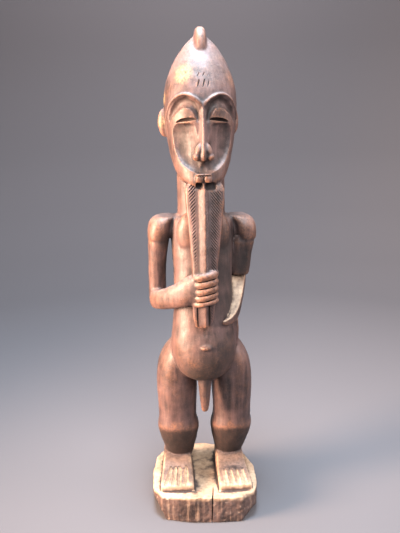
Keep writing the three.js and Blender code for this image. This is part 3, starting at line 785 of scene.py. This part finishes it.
# Dirt in the cuts and hollows, together with painted shade round the feet, under the knees and in dark
# patches.
dirt_and_shade_amount = combined("MULTIPLY", attribute("dirt_and_shade"), spread(specks, 0.35, 0.65, 0.88, 0.66))
put(shader.inputs["Base Color"], blend(dirt_and_shade_amount, surface, DIRT_AND_SHADE))
gloss = combined("ADD", spread(specks, 0.3, 0.7, 0.46, 0.6), combined("MULTIPLY", attribute("bare_wood_and_highlight"), 0.2))
put(shader.inputs["Roughness"], combined("ADD", gloss, combined("MULTIPLY", attribute("dirt_and_shade"), 0.25)))
relief = combined("ADD", combined("MULTIPLY", streaks, 0.7), combined("MULTIPLY", specks, 0.3))
put(shader.inputs["Normal"], node("ShaderNodeBump", "Normal", Height=relief, Strength=0.5, Distance=0.0008))

wood_mesh.transform(Matrix.Scale(MM, 4))
wood_mesh.shade_smooth()
wood_mesh.set_sharp_from_angle(angle=radians(40))
wood_mesh.materials.clear()
wood_mesh.materials.append(wood)
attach(figure, "root")
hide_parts("carved_figure")

# Floor: a plain pale matt sheet under the figure that turns up in a wide curve all round.
FLOOR_DROP = 0.0005
FLOOR_FLAT = 0.85
FLOOR_CURVE = [(1.05, 0.04), (1.2, 0.14), (1.3, 0.3), (1.36, 0.6), (1.38, 1.6)]
sheet = bmesh.new()
bmesh.ops.create_circle(sheet, cap_ends=True, segments=96, radius=FLOOR_FLAT)
edges = sheet.edges[:]
reach, rise = FLOOR_FLAT, 0
for next_reach, next_rise in FLOOR_CURVE:
    made = bmesh.ops.extrude_edge_only(sheet, edges=edges)["geom"]
    ring = set(kind_of(made, bmesh.types.BMVert))
    edges = [edge for edge in kind_of(made, bmesh.types.BMEdge) if ring.issuperset(edge.verts)]
    bmesh.ops.scale(sheet, vec=(next_reach / reach, next_reach / reach, 1), verts=list(ring))
    bmesh.ops.translate(sheet, vec=(0, 0, next_rise - rise), verts=list(ring))
    reach, rise = next_reach, next_rise
bmesh.ops.recalc_face_normals(sheet, faces=sheet.faces)
floor = piece_from("floor", mesh_of(sheet))
floor.data.shade_smooth()
floor.location.z = -FLOOR_DROP
pale = bpy.data.materials.new("pale_floor")
pale.use_nodes = True
floor_shader = pale.node_tree.nodes["Principled BSDF"]
floor_shader.inputs["Base Color"].default_value = colour(0.12, 0.118, 0.125)
floor_shader.inputs["Roughness"].default_value = 0.9
floor.data.materials.append(pale)


# Light: warm panels at the left and right, a cool one overhead, a wide soft one in front, and one turned
# to the rising floor behind.
def panel(name, place, aim, size, spread_angle, power, tint):
    """A round soft lamp turned to its aim: size in metres, spread in degrees and power in watts."""
    lamp = bpy.data.lights.new(name, "AREA")
    lamp.shape = "DISK"
    lamp.size = size
    lamp.spread = radians(spread_angle)
    lamp.energy = power
    lamp.color = tint
    holder = bpy.data.objects.new(name, lamp)
    holder.visible_camera = False
    bpy.context.scene.collection.objects.link(holder)
    turned = (Vector(aim) - Vector(place)).to_track_quat("-Z", "Y").to_matrix().to_4x4()
    holder.matrix_world = Matrix.Translation(place) @ turned


panel("warm_left", (-0.8, -0.25, 0.38), (0, 0, 0.28), 0.4, 70, 10, (1.0, 0.66, 0.47))
panel("cool_above", (-0.05, -0.08, 1.1), (0, 0, 0.4), 0.36, 130, 15, (0.72, 0.85, 1.0))
panel("front", (0.1, -0.9, 0.95), (0, 0, 0.2), 0.8, 130, 9, (0.97, 0.97, 1.0))
panel("warm_right", (0.95, -0.15, 0.55), (0, 0, 0.25), 0.6, 130, 4.4, (1.0, 0.76, 0.72))
panel("backdrop", (0.1, 0.6, 1.3), (0.1, 1.3, 0.4), 0.6, 130, 9, (1.0, 0.9, 0.92))
world = bpy.data.worlds.new("studio")
world.use_nodes = True
surroundings = world.node_tree.nodes["Background"]
surroundings.inputs["Color"].default_value = colour(0.84, 0.88, 1.0)
surroundings.inputs["Strength"].default_value = 0.28
bpy.context.scene.world = world

# Camera: in front, a little to the figure's right and near the height of its head, about one and a third
# figure heights away. It looks slightly down. The focal length and how far off the image's centre the
# figure stands are in pixels.
FOCAL = 650
IMAGE_HEIGHT = 533
OFF_CENTRE = 2.5
SENSOR = 36
DISTANCE, HEIGHT = 658 * MM, 428 * MM
TURN, TILT, ROLL = radians(-4), radians(13.96), radians(-0.45)
ahead = Vector((-sin(TURN) * cos(TILT), cos(TURN) * cos(TILT), -sin(TILT)))
ahead = Matrix.Rotation(atan(OFF_CENTRE / FOCAL), 3, "Z") @ ahead
level = ahead.cross(Vector((0, 0, 1))).normalized()
right = level * cos(ROLL) + level.cross(ahead) * sin(ROLL)
lens = bpy.data.cameras.new("camera")
lens.sensor_width = SENSOR
lens.lens = FOCAL / IMAGE_HEIGHT * SENSOR
camera = bpy.data.objects.new("camera", lens)
bpy.context.scene.collection.objects.link(camera)
camera.matrix_world = Matrix((right, right.cross(ahead), -ahead)).transposed().to_4x4()
camera.matrix_world.translation = (DISTANCE * sin(TURN), -DISTANCE * cos(TURN), HEIGHT)
bpy.context.scene.camera = camera
bpy.context.scene.view_settings.view_transform = "Standard"
